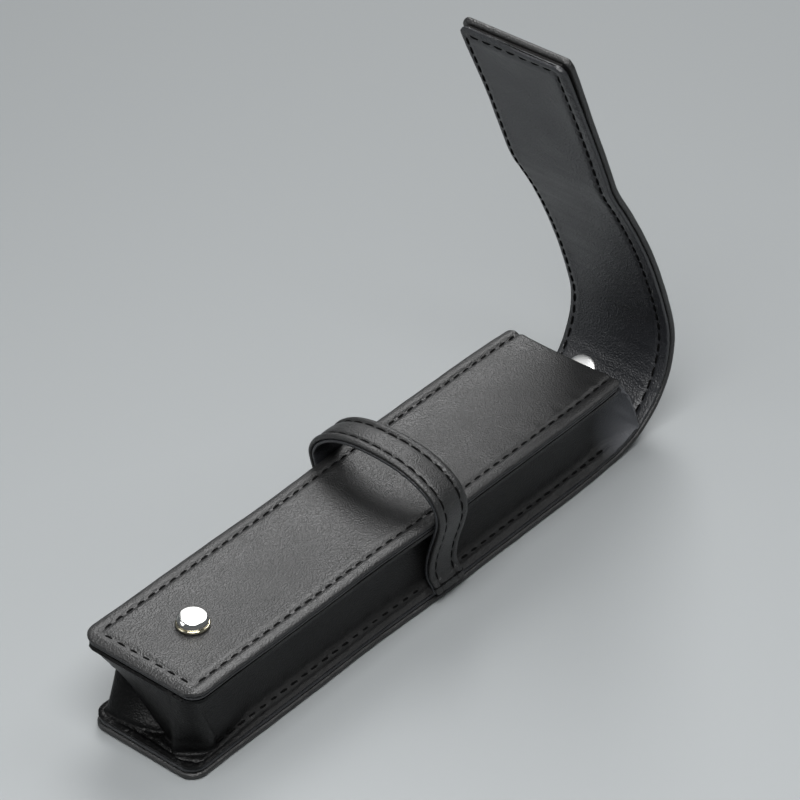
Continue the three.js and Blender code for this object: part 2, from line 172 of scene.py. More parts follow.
def store_rest(mesh):
    """Keeps each point's place at rest, so that textures stay put when a joint moves the piece."""
    places = np.zeros(len(mesh.vertices) * 3, np.float32)
    mesh.vertices.foreach_get("co", places)
    attribute = mesh.attributes.new("rest_place", "FLOAT_VECTOR", "POINT")
    attribute.data.foreach_set("vector", places)


def tube_faces(count, around, first=0):
    """Faces over closed rings of points, in order from the first one, with flat caps at both ends."""
    faces = []
    for here in range(first, first + (count - 1) * around, around):
        for j in range(around):
            k = (j + 1) % around
            faces.append((here + j, here + k, here + around + k, here + around + j))
    faces.append(tuple(range(first + around - 1, first - 1, -1)))
    faces.append(tuple(range(first + (count - 1) * around, first + count * around)))
    return faces


def loft(rings):
    """Points and faces of a solid through equal closed rings of points."""
    return np.concatenate(rings), tube_faces(len(rings), len(rings[0]))


def sheet_faces(rows, columns):
    return [
        (i * columns + j, (i + 1) * columns + j, (i + 1) * columns + j + 1, i * columns + j + 1)
        for i in range(rows - 1)
        for j in range(columns - 1)
    ]


def thick_sheet(points, faces, thickness):
    """A sheet of quads given its thickness about its middle: the closed solid's points and faces."""
    corners = points[np.array(faces)]
    turned = np.cross(corners[:, 2] - corners[:, 0], corners[:, 3] - corners[:, 1])
    normals = np.zeros_like(points)
    for k in range(4):
        np.add.at(normals, np.array(faces)[:, k], turned)
    normals /= np.linalg.norm(normals, axis=1, keepdims=True)
    offsets = normals * thickness / 2
    count = len(points)
    back = [tuple(count + i for i in reversed(face)) for face in faces]
    edges = {(a, b) for face in faces for a, b in zip(face, face[1:] + face[:1])}
    rim = [(b, a, count + a, count + b) for a, b in sorted(edges) if (b, a) not in edges]
    return np.concatenate([points + offsets, points - offsets]), faces + back + rim


def rolled_section(face, half, low, high, roll):
    """A flat band's closed section as x, n points: lower face, rolled edge, upper face, rolled edge."""
    middle, thick = (low + high) / 2, (high - low) / 2
    turn = np.linspace(-math.pi / 2, math.pi / 2, 8)[1:-1]
    edge = [(half - roll + roll * math.cos(a), middle + thick * math.sin(a)) for a in turn]
    other = [(-x, n) for x, n in reversed(edge)]
    return np.array([(x, low) for x in face] + edge + [(x, high) for x in face[::-1]] + other)


def run_along(points):
    """The distance along a row of points, at each of them."""
    steps = np.linalg.norm(np.diff(points, axis=0), axis=1)
    return np.concatenate([[0], np.cumsum(steps)])


def even_curve(points, count):
    """Evenly spaced points on a smooth curve through the given ones."""
    points = np.array(points, float)
    padded = np.vstack([2 * points[0] - points[1], points, 2 * points[-1] - points[-2]])
    fine = []
    for i in range(1, len(padded) - 2):
        p0, p1, p2, p3 = padded[i - 1 : i + 3]
        for t in np.linspace(0, 1, 24, endpoint=False):
            cubic = (2 * p0 - 5 * p1 + 4 * p2 - p3) * t**2 + (3 * p1 - p0 - 3 * p2 + p3) * t**3
            fine.append(0.5 * (2 * p1 + (p2 - p0) * t + cubic))
    fine = np.array(fine + [points[-1]])
    run = run_along(fine)
    even = np.linspace(0, run[-1], count)
    return np.column_stack([np.interp(even, run, fine[:, k]) for k in range(points.shape[1])])


def quadratic(start, control, end, t):
    return (1 - t) ** 2 * start + 2 * t * (1 - t) * control + t**2 * end


def waves(values, seed, wavelengths, size):
    """A smooth fixed wobble: a sum of sines whose phases follow from the seed."""
    total = np.zeros_like(np.asarray(values, float))
    for k, wavelength in enumerate(wavelengths):
        phase = math.sin(seed * 12.9898 + k * 78.233) * 43758.5453
        total += np.sin(2 * math.pi * np.asarray(values, float) / wavelength + phase) / (k + 1)
    return total * size


def smooth_step(low, high, value):
    """0 at low and 1 at high, easing in and out between them."""
    t = np.clip((np.asarray(value, float) - low) / (high - low), 0, 1)
    return t * t * (3 - 2 * t)


# ---- the path of the back panel and flap ----


def path_at(distance):
    """The back and flap's middle surface as y, z and its angle, counted from the mouth (negative:
    on the case)."""
    if distance <= 0:
        return MOUTH_Y + distance, PANEL / 2, 0.0
    y, z, angle, left = MOUTH_Y, PANEL / 2, 0.0, distance
    for length, turn in FLAP_STRETCHES:
        run = min(left, length)
        curvature = math.radians(turn) / length
        following = angle + curvature * run
        y += (math.sin(following) - math.sin(angle)) / curvature
        z += (math.cos(angle) - math.cos(following)) / curvature
        angle, left = following, left - run
        if left <= 0:
            break
    return y, z, angle


def front_at(distance):
    """The front panel's middle surface, counted from the mouth."""
    return MOUTH_Y + distance, TOP_Z - PANEL / 2, 0.0


# ---- plies: leather sheets with rolled edges ----

# How far in from the rolled edge a ply's points are, on the front panel: close together at the seam.
FACE_STEPS = np.array(
    [0, 0.4, 0.8, 1.15, 1.5, 1.85, 2.15, 2.45, 2.75, 3.1, 3.5, 4.0, 4.8, 6.2, 8.5, 11, 14]
)
STATION_STEP = 0.8


def ply_section(half, low, high, roll):
    right = (half - roll) * (1 - FACE_STEPS / (FRONT_HALF - roll))
    return rolled_section(np.concatenate([-right, right[::-1]]), half, low, high, roll)


def ply_stations(start, end, round_start, round_end, roll):
    """Distances along a ply for its sections, close together at each end."""
    distances = list(np.arange(start, end, STATION_STEP)[1:])
    distances = [d for d in distances if d < end - 0.3 * STATION_STEP]
    ends = [roll * (1 - math.cos(a)) for a in np.linspace(0.12, math.pi / 2, 6)]
    low_rows = [start + e for e in ends] if round_start else [start, start + 0.08]
    high_rows = [end - e for e in reversed(ends)] if round_end else [end - 0.08, end]
    inner = [d for d in distances if low_rows[-1] + 0.2 < d < high_rows[0] - 0.2]
    return np.array(low_rows + inner + high_rows)


def side_swell(distance):
    """The soft case is widest between the keeper and the mouth."""
    grown = smooth_step(*SWELL_GROWS, distance)
    return SIDE_SWELL * grown * (1 - smooth_step(*SWELL_ENDS, distance))


def ply(name, at, start, end, material, slot, half, low, high, roll, corners=(None, None), relief=None):
    """One sheet of leather swept along a path, with rolled sides and, where a corner radius is
    given, a rolled end with rounded corners. relief moves the points of either face."""
    round_start, round_end = corners[0] is not None, corners[1] is not None
    middle = (low + high) / 2
    rings = []
    for distance in ply_stations(start, end, round_start, round_end, roll):
        thin, width = 1.0, half
        for radius, gap in zip(corners, (distance - start, end - distance)):
            if radius is None:
                continue
            if gap < roll:
                thin = math.sqrt(max(1 - (1 - gap / roll) ** 2, 0.0))
            if gap < radius:
                width = half - radius + math.sqrt(radius**2 - (radius - gap) ** 2)
        section = ply_section(width, low, high, roll)
        swell = waves(distance, 3.1, (47, 23, 9), 0.06) + side_swell(distance)
        across = section[:, 0] * (1 + swell / half)
        out = middle + (section[:, 1] - middle) * thin
        if relief is not None:
            out = out + relief(section[:, 0], distance, section[:, 1] > middle)
        y, z, angle = at(distance)
        place = (across, y - out * math.sin(angle), z + out * math.cos(angle))
        rings.append(np.column_stack(place))
    return mesh_piece(name, *loft(rings), material, slot)


# ---- stitches ----


def spread(start, end):
    """Stitch places at an even pitch between two ends."""
    count = max(1, round((end - start) / STITCH_PITCH))
    pitch = (end - start) / count
    return [start + (i + 0.5) * pitch for i in range(count)]


STITCH_RINGS, STITCH_SIDES = 9, 8
STITCH_LIFT = 0.05
STITCH_DIP = 0.42


def stitch_mesh(places, length=STITCH_LENGTH, radius=STITCH_RADIUS):
    """Points and faces of one stitch at each place: a thread that dips into its holes at both ends."""
    points, faces = [], []
    for centre, along, out in places:
        centre, along, out = (np.array(v, float) for v in (centre, along, out))
        along /= np.linalg.norm(along)
        across = np.cross(out, along)
        across /= np.linalg.norm(across)
        out = np.cross(along, across)
        faces += tube_faces(STITCH_RINGS, STITCH_SIDES, len(points))
        for i in range(STITCH_RINGS):
            u = i / (STITCH_RINGS - 1) * 2 - 1
            thick = radius * (1 - 0.25 * abs(u) ** 4)
            lift = STITCH_LIFT - STITCH_DIP * abs(u) ** 3
            middle = centre + along * (u * length / 2) + out * lift
            for j in range(STITCH_SIDES):
                a = 2 * math.pi * j / STITCH_SIDES
                points.append(middle + thick * (across * math.cos(a) * 1.15 + out * math.sin(a)))
    return points, faces


def seam_groove(distance_from_line, along, depth):
    """The leather's height near a seam: pressed down under each stitch hole and puffed up beside it."""
    near = np.exp(-((distance_from_line / 0.55) ** 2))
    beside = np.exp(-(((np.abs(distance_from_line) - 1.5) / 0.8) ** 2))
    hole = 0.5 - 0.5 * np.cos(2 * math.pi * np.asarray(along, float) / STITCH_PITCH)
    return -depth * near * (0.7 + 0.3 * hole) + 0.3 * depth * beside * (0.65 + 0.35 * hole)


# ---- materials ----

NOISE = "ShaderNodeTexNoise"


def new_material(name):
    material = bpy.data.materials.new(name)
    material.use_nodes = True
    return material, material.node_tree, material.node_tree.nodes["Principled BSDF"]


def add(tree, kind, **values):
    """A new node, with values for its inputs or else for its settings."""
    node = tree.nodes.new(kind)
    for key, value in values.items():
        if key in node.inputs:
            node.inputs[key].default_value = value
        else:
            setattr(node, key, value)
    return node


def rest_coordinates(tree):
    return add(tree, "ShaderNodeAttribute", attribute_name="rest_place").outputs["Vector"]


def object_coordinates(tree):
    return add(tree, "ShaderNodeTexCoord").outputs["Object"]


def texture(tree, kind, place, output, **values):
    """A texture node at a place, as one of its outputs."""
    node = add(tree, kind, **values)
    tree.links.new(place, node.inputs["Vector"])
    return node.outputs[output]


def map_range(tree, value, from_range, to_range):
    node = add(tree, "ShaderNodeMapRange")
    node.inputs["From Min"].default_value, node.inputs["From Max"].default_value = from_range
    node.inputs["To Min"].default_value, node.inputs["To Max"].default_value = to_range
    tree.links.new(value, node.inputs["Value"])
    return node.outputs["Result"]


def mix_base(tree, shader, factor, dark, light):
    """A base colour that runs from dark to light with a factor."""
    mix = add(tree, "ShaderNodeMixRGB")
    mix.inputs["Color1"].default_value = (*dark, 1)
    mix.inputs["Color2"].default_value = (*light, 1)
    tree.links.new(factor, mix.inputs["Fac"])
    tree.links.new(mix.outputs["Color"], shader.inputs["Base Color"])


def add_bumps(tree, shader, bumps):
    """A chain of bumps, each a height with its strength and its depth in millimetres."""
    normal = None
    for height, strength, depth in bumps:
        bump = add(tree, "ShaderNodeBump", Strength=strength, Distance=depth * MM)
        tree.links.new(height, bump.inputs["Height"])
        if normal is not None:
            tree.links.new(normal, bump.inputs["Normal"])
        normal = bump.outputs["Normal"]
    tree.links.new(normal, shader.inputs["Normal"])


def leather_material(
    name, dark, light, roughness, grain, height, crease, tint=(1, 1, 1), specular=0.75
):
    """Black leather: fine pebbles over soft creases, with uneven polish. Grain is the pebbles' size,
    height their depth and crease the creases' depth, all in millimetres."""
    material, tree, shader = new_material(name)
    scale = 1 / (grain * MM)
    place = rest_coordinates(tree)
    warp = add(tree, "ShaderNodeMixRGB", blend_type="LINEAR_LIGHT")
    warp.inputs["Fac"].default_value = 0.4 * grain * MM
    tree.links.new(place, warp.inputs["Color1"])
    wobble = texture(tree, NOISE, place, "Color", Scale=0.35 * scale, Detail=2.0)
    tree.links.new(wobble, warp.inputs["Color2"])
    cells = add(tree, "ShaderNodeTexVoronoi", Scale=scale, feature="SMOOTH_F1")
    tree.links.new(warp.outputs["Color"], cells.inputs["Vector"])
    pebbles = map_range(tree, cells.outputs["Distance"], (0, 0.8), (1, 0))
    pores = texture(tree, NOISE, place, "Fac", Scale=2.2 * scale, Detail=3.0)
    creases = texture(tree, NOISE, place, "Fac", Scale=180.0, Detail=5.0, Roughness=0.6)
    patches = texture(tree, NOISE, place, "Fac", Scale=55.0, Detail=4.0)
    mix_base(tree, shader, patches, [dark * t for t in tint], [light * t for t in tint])
    gloss = map_range(tree, patches, (0.3, 0.7), (roughness - 0.06, roughness + 0.08))
    tree.links.new(gloss, shader.inputs["Roughness"])
    add_bumps(tree, shader, ((pebbles, 1, height), (pores, 1, height * 0.5), (creases, 1, crease)))
    shader.inputs["Specular IOR Level"].default_value = specular
    return material


# Painted shade for the gusset's folded end, and painted light for the lit patch on its web at the
# mouth.
PAINTED_FOLD_SHADE = (0.0008, 0.0008, 0.0009)
PAINTED_MOUTH_LIGHT = (0.100, 0.103, 0.112)


def paint_gusset_light_and_shade(material):
    """Painted light and shade on the gusset: the folded end is painted near black as shade, and the web
    at the mouth is painted paler as a lit patch.
    """
    tree = material.node_tree
    base = tree.nodes["Principled BSDF"].inputs["Base Color"]
    split = add(tree, "ShaderNodeSeparateXYZ")
    tree.links.new(rest_coordinates(tree), split.inputs["Vector"])
    for start, end, strength, colour in (
        (CLOSED_Y + 4, CLOSED_Y + 30, (1, 0), PAINTED_FOLD_SHADE),
        (MOUTH_Y - 4, MOUTH_Y + 5, (0, 1), PAINTED_MOUTH_LIGHT),
    ):
        mix = add(tree, "ShaderNodeMixRGB")
        mix.inputs["Color2"].default_value = (*colour, 1)
        part = map_range(tree, split.outputs["Y"], (start * MM, end * MM), strength)
        tree.links.new(part, mix.inputs["Fac"])
        tree.links.new(base.links[0].from_socket, mix.inputs["Color1"])
        tree.links.new(mix.outputs["Color"], base)


def metal_material(name, colour, roughness):
    material, tree, shader = new_material(name)
    shader.inputs["Base Color"].default_value = (*colour, 1)
    shader.inputs["Metallic"].default_value = 1.0
    place = object_coordinates(tree)
    scuffs = texture(tree, NOISE, place, "Fac", Scale=900.0, Detail=4.0)
    polish = map_range(tree, scuffs, (0, 1), (roughness, roughness + 0.06))
    tree.links.new(polish, shader.inputs["Roughness"])
    add_bumps(tree, shader, ((scuffs, 0.3, 0.005),))
    return material


def thread_material():
    material, tree, shader = new_material("waxed_thread")
    twist = add(tree, "ShaderNodeTexWave", Scale=700.0, Distortion=1.5, Detail=2.0)
    twist.bands_direction = "DIAGONAL"
    tree.links.new(rest_coordinates(tree), twist.inputs["Vector"])
    mix_base(tree, shader, twist.outputs["Fac"], (0.002, 0.002, 0.002), (0.006, 0.006, 0.006))
    shader.inputs["Roughness"].default_value = 0.9
    shader.inputs["Specular IOR Level"].default_value = 0.06
    add_bumps(tree, shader, ((twist.outputs["Fac"], 0.6, 0.05),))
    return material


def board_material():
    material, tree, shader = new_material("fibre_board")
    place = object_coordinates(tree)
    fibres = texture(tree, NOISE, place, "Fac", Scale=1500.0, Detail=6.0)
    mix_base(tree, shader, fibres, (0.004, 0.004, 0.004), (0.010, 0.009, 0.009))
    shader.inputs["Roughness"].default_value = 0.9
    return material


BLUISH = (0.95, 1.0, 1.15)
SKIN = leather_material("smooth_black_leather", 0.007, 0.013, 0.42, 0.40, 0.12, 0.02)
LINING = leather_material("lining_leather", 0.015, 0.022, 0.37, 0.48, 0.14, 0.04, BLUISH, 0.7)
# The gusset's base is lighter than the outer leather's: painted light standing in for the reflections
# on its side walls, as its specular level is kept low.
GUSSET = leather_material("gusset_leather", 0.014, 0.020, 0.38, 0.45, 0.10, 0.08, specular=0.22)
paint_gusset_light_and_shade(GUSSET)
THREAD = thread_material()
POLISHED = metal_material("polished_metal", (0.92, 0.92, 0.90), 0.04)
SATIN = metal_material("satin_metal", (0.95, 0.95, 0.94), 0.40)
# The pale gold tint is a painted warm reflection on the stud's chrome ring; the same metal also dresses
# the hidden posts, inner head and washer.
WARM_REFLECTION_METAL = metal_material("painted_warm_reflection_metal", (0.80, 0.74, 0.56), 0.12)
BOARD = board_material()


# ---- front panel ----


def front_seam_distance(across, y):
    """Distance from the U-shaped front seam, the length along it, and whether its end is nearest."""
    side = FRONT_HALF - FRONT_SEAM_INSET - np.abs(across)
    end = y - (CLOSED_Y + FRONT_SEAM_INSET)
    on_end = end < side
    gap = np.where(on_end, end, side)
    along = np.where(on_end, across, y)
    return gap, along, on_end


def front_relief(across, distance, upper):
    """The front panel's pressed seam, with its puckers and low rim, round a slightly hollow middle."""
    y = MOUTH_Y + distance
    level = np.full_like(across, y)
    gap, along, on_end = front_seam_distance(across, level)
    relief = seam_groove(gap, along, 0.45)
    tugs = 0.03 + 0.13 * smooth_step(20, 70, y) * (across > 0)
    puckers = waves(along, 5.0, (7.4, 3.7), 1) * tugs
    relief = relief + puckers * np.exp(-(((gap - 1.9) / 1.3) ** 2))
    relief = relief - np.where(on_end, 0.55, 0.12) * smooth_step(-0.9, -3.3, gap)
    inside = smooth_step(2, 9, gap)
    hollow = -0.25 * inside * (1 - (across / FRONT_HALF) ** 2)
    return np.where(upper, relief + hollow, 0.0)


def front_panel():
    length = MOUTH_Y - CLOSED_Y
    inset = LINING_INSET
    skin = ply(
        "front_panel_cover", front_at, -length, 0, SKIN, "outer_leather", FRONT_HALF,
        -SKIN_HIGH, -SKIN_LOW, FRONT_ROLL, (END_RADIUS, MOUTH_RADIUS), front_relief,
    )
    liner = ply(
        "front_panel_liner", front_at, -length + inset, -inset, LINING, "lining_leather",
        FRONT_HALF - inset, -LINING_HIGH, -LINING_LOW, LINING_ROLL, (END_RADIUS - inset, MOUTH_RADIUS),
    )
    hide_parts("front_panel_leather")
    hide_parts("front_panel_lining")
    for piece in (skin, liner):
        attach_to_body(piece, "case")


def front_seam():
    x = FRONT_HALF - FRONT_SEAM_INSET
    end = CLOSED_Y + FRONT_SEAM_INSET
    top = TOP_Z - FRONT_STITCH_SINK
    places = []
    for side in (-1, 1):
        for y in spread(end + 1, MOUTH_Y - SEAM_END_GAP):
            at = x + side_swell(y - MOUTH_Y) * x / FRONT_HALF
            places.append(((side * at, y, top), (0.05 * side, 1, 0), (0, 0, 1)))
    places += [((at, end, top), (1, 0.05, 0), (0, 0, 1)) for at in spread(-x + 1, x - 1)]
    seam = mesh_piece("front_panel_stitches", *stitch_mesh(places), THREAD, "thread")
    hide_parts("front_seam_thread")
    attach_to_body(seam, "case")


# ---- back panel and flap ----

# Each piece of the strip: its range along the path and the two bodies it joins.
STRIP = (
    ("back_panel", CLOSED_Y - MOUTH_Y, 0, "case", "case"),
    ("flap_root", 0, 10, "case", "flap_1"),
    ("flap_sweep_lower", 10, 24, "flap_1", "flap_2"),
    ("flap_sweep_upper", 24, 38, "flap_2", "flap_3"),
    ("flap_middle", 38, 74, "flap_3", "flap_4"),
    ("flap_tip", 74, FLAP_LENGTH, "flap_4", "flap_5"),
)
# How far a bend reaches to either side of its hinge, and how far it keeps from the piece's ends.
BEND_HALF = 6.5
BEND_MARGIN = 0.6


def tip_spread(distance):
    """How far the two leaves part towards the tip."""
    return 0.35 * smooth_step(FLAP_LENGTH - 30, FLAP_LENGTH, distance)


def flap_seam_distance(across, distance):
    """Distance from the flap's seam, and the length along it, at points across the flap."""
    inset = np.where(across > 0, FLAP_SEAM_RIGHT, FLAP_SEAM_LEFT)
    gap = HALF_WIDTH - inset - np.abs(across)
    along = np.full_like(across, distance)
    end_gap = FLAP_LENGTH - FLAP_SEAM_TIP - distance
    on_end = end_gap < gap
    return np.where(on_end, end_gap, gap), np.where(on_end, across, along)


def strip_relief(outer):
    """The flap's pressed seam, wrinkles and parted tip, for its outer leather or its lining."""

    def relief(across, distance, upper):
        gap, along = flap_seam_distance(across, distance)
        on_flap = smooth_step(1, 8, distance)
        near_tip = smooth_step(FLAP_LENGTH - 40, FLAP_LENGTH - 5, distance)
        puff = (-0.14 + 0.4 * near_tip) * np.exp(-(((gap + 1.5) / 1.1) ** 2))
        groove = (seam_groove(gap, along, 0.4) + puff) * on_flap
        wrinkle = waves(distance + 0.06 * across, 1.7, (5.3, 3.1, 1.9), 0.035)
        sag = wrinkle * smooth_step(12, 26, distance) * (1 - smooth_step(90, 130, distance))
        part = tip_spread(distance)
        if outer:
            return np.where(upper, 0.0, -groove) - part
        left_rim = -0.7 * smooth_step(-0.3, -2.0, gap) * (across < 0)
        return np.where(upper, groove + sag + left_rim * on_flap, 0.0) + part

    return relief


def attach(piece, start, end, first, second):
    """Puts a strip piece on its body when both its ends are on one body; otherwise it only bakes the
    piece's transform.
    """
    if first == second:
        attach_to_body(piece, first)
        return
    hinge = FLAP_HINGES[int(second[-1]) - 1]
    low_y, low_z, _ = path_at(max(start + BEND_MARGIN, hinge - BEND_HALF))
    high_y, high_z, _ = path_at(min(end - BEND_MARGIN, hinge + BEND_HALF))
    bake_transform(piece)


def strip_nodes(kind, second):
    if second == "case":
        return f"back_panel_{kind}"
    return f"flap_{kind}_{second[-1]}"


def back_and_flap():
    for name, start, end, first, second in STRIP:
        closed = END_RADIUS if name == "back_panel" else None
        tip = TIP_RADIUS if name == "flap_tip" else None
        skin = ply(
            f"{name}_cover", path_at, start, end, SKIN, "outer_leather",
            HALF_WIDTH, SKIN_LOW, SKIN_HIGH, FLAP_ROLL, (closed, tip), strip_relief(True),
        )
        inner_start = start + (LINING_INSET if closed else 0)
        inner_end = end - (LINING_INSET if tip else 0)
        inner_half = HALF_WIDTH - LINING_INSET
        liner = ply(
            f"{name}_liner", path_at, inner_start, inner_end, LINING, "lining_leather",
            inner_half, LINING_LOW, LINING_HIGH, LINING_ROLL, (closed, tip), strip_relief(False),
        )
        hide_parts(strip_nodes("leather", second))
        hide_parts(strip_nodes("lining", second))
        attach(skin, start, end, first, second)
        attach(liner, start, end, first, second)


def flap_place(distance, across, inner):
    """A stitch's place on a face of the flap: centre, direction along and direction out."""
    y, z, angle = path_at(distance)
    out = (PANEL / 2 - FLAP_STITCH_SINK + tip_spread(distance)) * (1 if inner else -1)
    centre = (across, y - out * math.sin(angle), z + out * math.cos(angle))
    along = (0, math.cos(angle), math.sin(angle))
    normal = np.array((0, -math.sin(angle), math.cos(angle))) * (1 if inner else -1)
    return centre, along, normal


def flap_seams():
    sides = (HALF_WIDTH - FLAP_SEAM_RIGHT, -(HALF_WIDTH - FLAP_SEAM_LEFT))
    tip = FLAP_LENGTH - FLAP_SEAM_TIP
    rows = spread(FLAP_SEAM_START, tip - 1)
    for name, start, end, first, second in STRIP[1:]:
        places = []
        for inner in (True, False):
            for distance in rows:
                if start <= distance < end and (inner or distance > FLAP_OUTER_SEAM_START):
                    places += [flap_place(distance, across, inner) for across in sides]
            if name == "flap_tip":
                for across in spread(sides[1] + 1, sides[0] - 1):
                    centre, _, normal = flap_place(tip, across, inner)
                    places.append((centre, (1, 0, 0), normal))
        stitches = stitch_mesh(places, FLAP_STITCH_LENGTH, FINE_STITCH_RADIUS)
        seam = mesh_piece(f"{name}_stitches", *stitches, THREAD, "thread")
        number = second[-1]
        strands = [f"flap_seam_thread_{number}_{side}" for side in ("right", "left")]
        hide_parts(*([f"flap_seam_thread_{number}"] if name == "flap_tip" else strands))
        attach(seam, start, end, first, second)


# ---- gusset ----

GUSSET_THICK = 0.8
FLANGE_INSET = 0.45
# The side walls' distance from the middle at their foot and at their top, and their bend's radius.
WALL_LOW_X = 12.5
WALL_HIGH_X = 13.9
FOLD_BEND = 1.2
WALL_END_Y = MOUTH_Y - 0.3
# How high the lower flange has risen where it meets the side walls and the end wall.
SIDE_HUMP = 1.6
END_HUMP = 0.3
SEAM_PRESS = 0.35
LOW = GUSSET_LOW_Z + GUSSET_THICK / 2
HIGH = GUSSET_HIGH_Z - GUSSET_THICK / 2

# The closed end's folds. Across the end wall runs a slanting crease, as x, z and its depth from the
# closed end, where the upper facet hangs over the lower one. The right corner is drawn back as it
# comes down.
CREASE = ((-14.0, 18.4, 5.8), (-8.0, 12.8, 6.9), (-2.2, 7.4, 6.9), (3.0, 4.4, 6.2), (8.0, 2.0, 5.0))
CREASE_DEPTH = 1.8
END_TOP_Y = CLOSED_Y + 0.9
END_LOW_Y = CLOSED_Y + 2.2


def end_wall_y(x, z):
    """The end wall's place: an upper facet over a recessed lower facet, split by the crease."""
    xs, zs, depths = zip(*CREASE)
    crease_z = np.interp(x, xs, zs)
    crease_y = CLOSED_Y + np.interp(x, xs, depths)
    up = np.clip((z - crease_z) / max(HIGH - crease_z, 1), 0, 1)
    upper = crease_y + (END_TOP_Y - crease_y) * up**0.85
    down = np.clip((crease_z - z) / max(crease_z - LOW, 1), 0, 1)
    lower = crease_y + CREASE_DEPTH + (END_LOW_Y - crease_y - CREASE_DEPTH) * down
    above = smooth_step(crease_z - 0.5, crease_z + 0.3, z)
    lip = 0.35 * math.exp(-(((z - crease_z - 0.5) / 0.7) ** 2))
    return float(lower + (upper - lower) * above) - lip


# The right corner's fold at some heights (0 to 1): a point on the side wall, the corner's control
# point and a point on the end wall, as x and the distance from the closed end.
RIGHT_FOLD = (
    (0.0, (13.4, 10.8), (15.8, 7.4), (8.0, 2.5)),
    (0.2, (13.6, 10.3), (17.2, 8.2), (8.5, 3.0)),
    (0.6, (13.6, 7.2), (15.6, 2.8), (10.0, 2.4)),
    (1.0, (14.2, 4.4), (13.6, 0.7), (10.0, 1.2)),
)


def fold_points(side, height, z):
    """Where a corner leaves the side wall, its control point, and where it meets the end wall."""
    if side > 0:
        heights, *columns = zip(*RIGHT_FOLD)
        points = []
        for column in columns:
            x, y = (np.interp(height, heights, values) for values in zip(*column))
            points.append(np.array((x, CLOSED_Y + y)))
        return points
    y = end_wall_y(-12.0, z)
    end_x = 11.0 + height**2
    start, control = np.array((13.6, y + 4.2)), np.array((15.0 + 3.0 * height**2, y - 0.4))
    return [start, control, np.array((end_x, end_wall_y(-end_x, z)))]


def side_wall_x(side, y, height):
    """A side wall's distance from the middle: bowed inwards, slack, and tugged at by its stitches."""
    arch = math.sin(math.pi * height)
    plain = WALL_LOW_X + (WALL_HIGH_X - WALL_LOW_X) * height + side_swell(y - MOUTH_Y)
    plain = plain - 1.3 * smooth_step(MOUTH_Y - 14, MOUTH_Y, y) * arch
    ripple = float(waves(y + 6 * height, 2.0 + side, (61, 27), 0.25)) * arch
    tugs = float(waves(y, 4.0 + side, (7.4, 3.7), 0.16)) * math.exp(-(((height - 0.08) / 0.1) ** 2))
    return plain - 0.9 * arch + ripple + tugs


# How many points the gusset's rows have along a side, round a corner and across the end, and how
# many rows there are up the wall.
SIDE_COUNT, CORNER_COUNT, END_COUNT = 150, 18, 60
WALL_LEVELS, WALL_ROWS = 60, 46


def wall_row(height, z):
    """The wall's run in plan at one height: right side, corner, end, corner, left side."""
    right, left = fold_points(1, height, z), fold_points(-1, height, z)
    row = side_run(1, right[0], height)
    row += [corner_point(right, t) for t in np.linspace(0, 1, CORNER_COUNT)[1:-1]]
    for t in np.linspace(0, 1, END_COUNT):
        x = right[2][0] + (-left[2][0] - right[2][0]) * t
        mix = smooth_step(0, 0.12, t)
        y = right[2][1] + (end_wall_y(x, z) - right[2][1]) * mix
        row.append((x, y))
    row += [corner_point(left, 1 - t, -1) for t in np.linspace(0, 1, CORNER_COUNT)[1:-1]]
    return row + side_run(-1, left[0], height)[::-1]


def side_run(side, corner, height):
    run = []
    for t in np.linspace(0, 1, SIDE_COUNT):
        y = WALL_END_Y + (corner[1] - WALL_END_Y) * t
        x = side_wall_x(side, y, height)
        x += (corner[0] - x) * smooth_step(0.9, 1, t)
        run.append((side * x, y))
    return run


def corner_point(points, t, side=1):
    x, y = quadratic(*points, t)
    return (side * x, y)


def flange_row(half):
    """The flange's free edge, with as many points as wall_row() and in the same order."""
    edge = half - FLANGE_INSET
    radius = END_RADIUS - FLANGE_INSET
    end = CLOSED_Y + FLANGE_INSET
    ys = WALL_END_Y + (end + radius - WALL_END_Y) * np.linspace(0, 1, SIDE_COUNT)
    xs = [edge + side_swell(y - MOUTH_Y) for y in ys]
    right = list(zip(xs, ys))
    straight = edge - radius
    turns = np.linspace(0, math.pi / 2, CORNER_COUNT)[1:-1]
    corner = [(straight + radius * math.cos(a), end + radius - radius * math.sin(a)) for a in turns]
    across = [(straight * (1 - 2 * t), end) for t in np.linspace(0, 1, END_COUNT)]
    mirrored = [(-x, y) for x, y in reversed(right + corner)]
    return right + corner + across + mirrored


def flange_rise(from_edge, reach, hump, seam):
    """A flange's rise above its free edge: a slope up to the wall, pressed in along its seam."""
    slope = hump * np.clip(from_edge / reach, 0, 1) ** 1.2
    return slope - seam * np.exp(-(((from_edge - BACK_SEAM_INSET + FLANGE_INSET) / 0.45) ** 2))


def flange(edge, wall, level, up, hump, seam):
    """Rows from a flange's free edge to the bend into the wall."""
    reach = edge - wall
    length = np.maximum(np.linalg.norm(reach, axis=1, keepdims=True), 1e-6)
    bend = np.minimum(FOLD_BEND, length * 0.6)
    out = reach / length
    flat = (length - bend)[:, 0]
    ripple = np.abs([float(waves(k, 9.0, (11, 7, 4), 0.2)) for k in range(len(wall))])
    rows = []
    for u in np.linspace(0, 0.96, 16):
        plan = edge - out * flat[:, None] * u
        rise = flange_rise(flat * u, flat, hump, seam) + ripple * math.sin(math.pi * u)
        rows.append(np.column_stack([plan, level + up * rise]))
    for a in np.linspace(0, math.pi / 2, 6)[:-1]:
        plan = wall + out * bend * (1 - math.sin(a))
        rows.append(np.column_stack([plan, level + up * (hump + bend[:, 0] * (1 - math.cos(a)))]))
    return rows


def flange_hump():
    """The lower flange slopes along the sides and lies nearly flat across the end."""
    side = SIDE_HUMP + (END_HUMP - SIDE_HUMP) * smooth_step(0.9, 1, np.linspace(0, 1, SIDE_COUNT))
    middle = np.full(2 * (CORNER_COUNT - 2) + END_COUNT, END_HUMP)
    return np.concatenate([side, middle, side[::-1]])


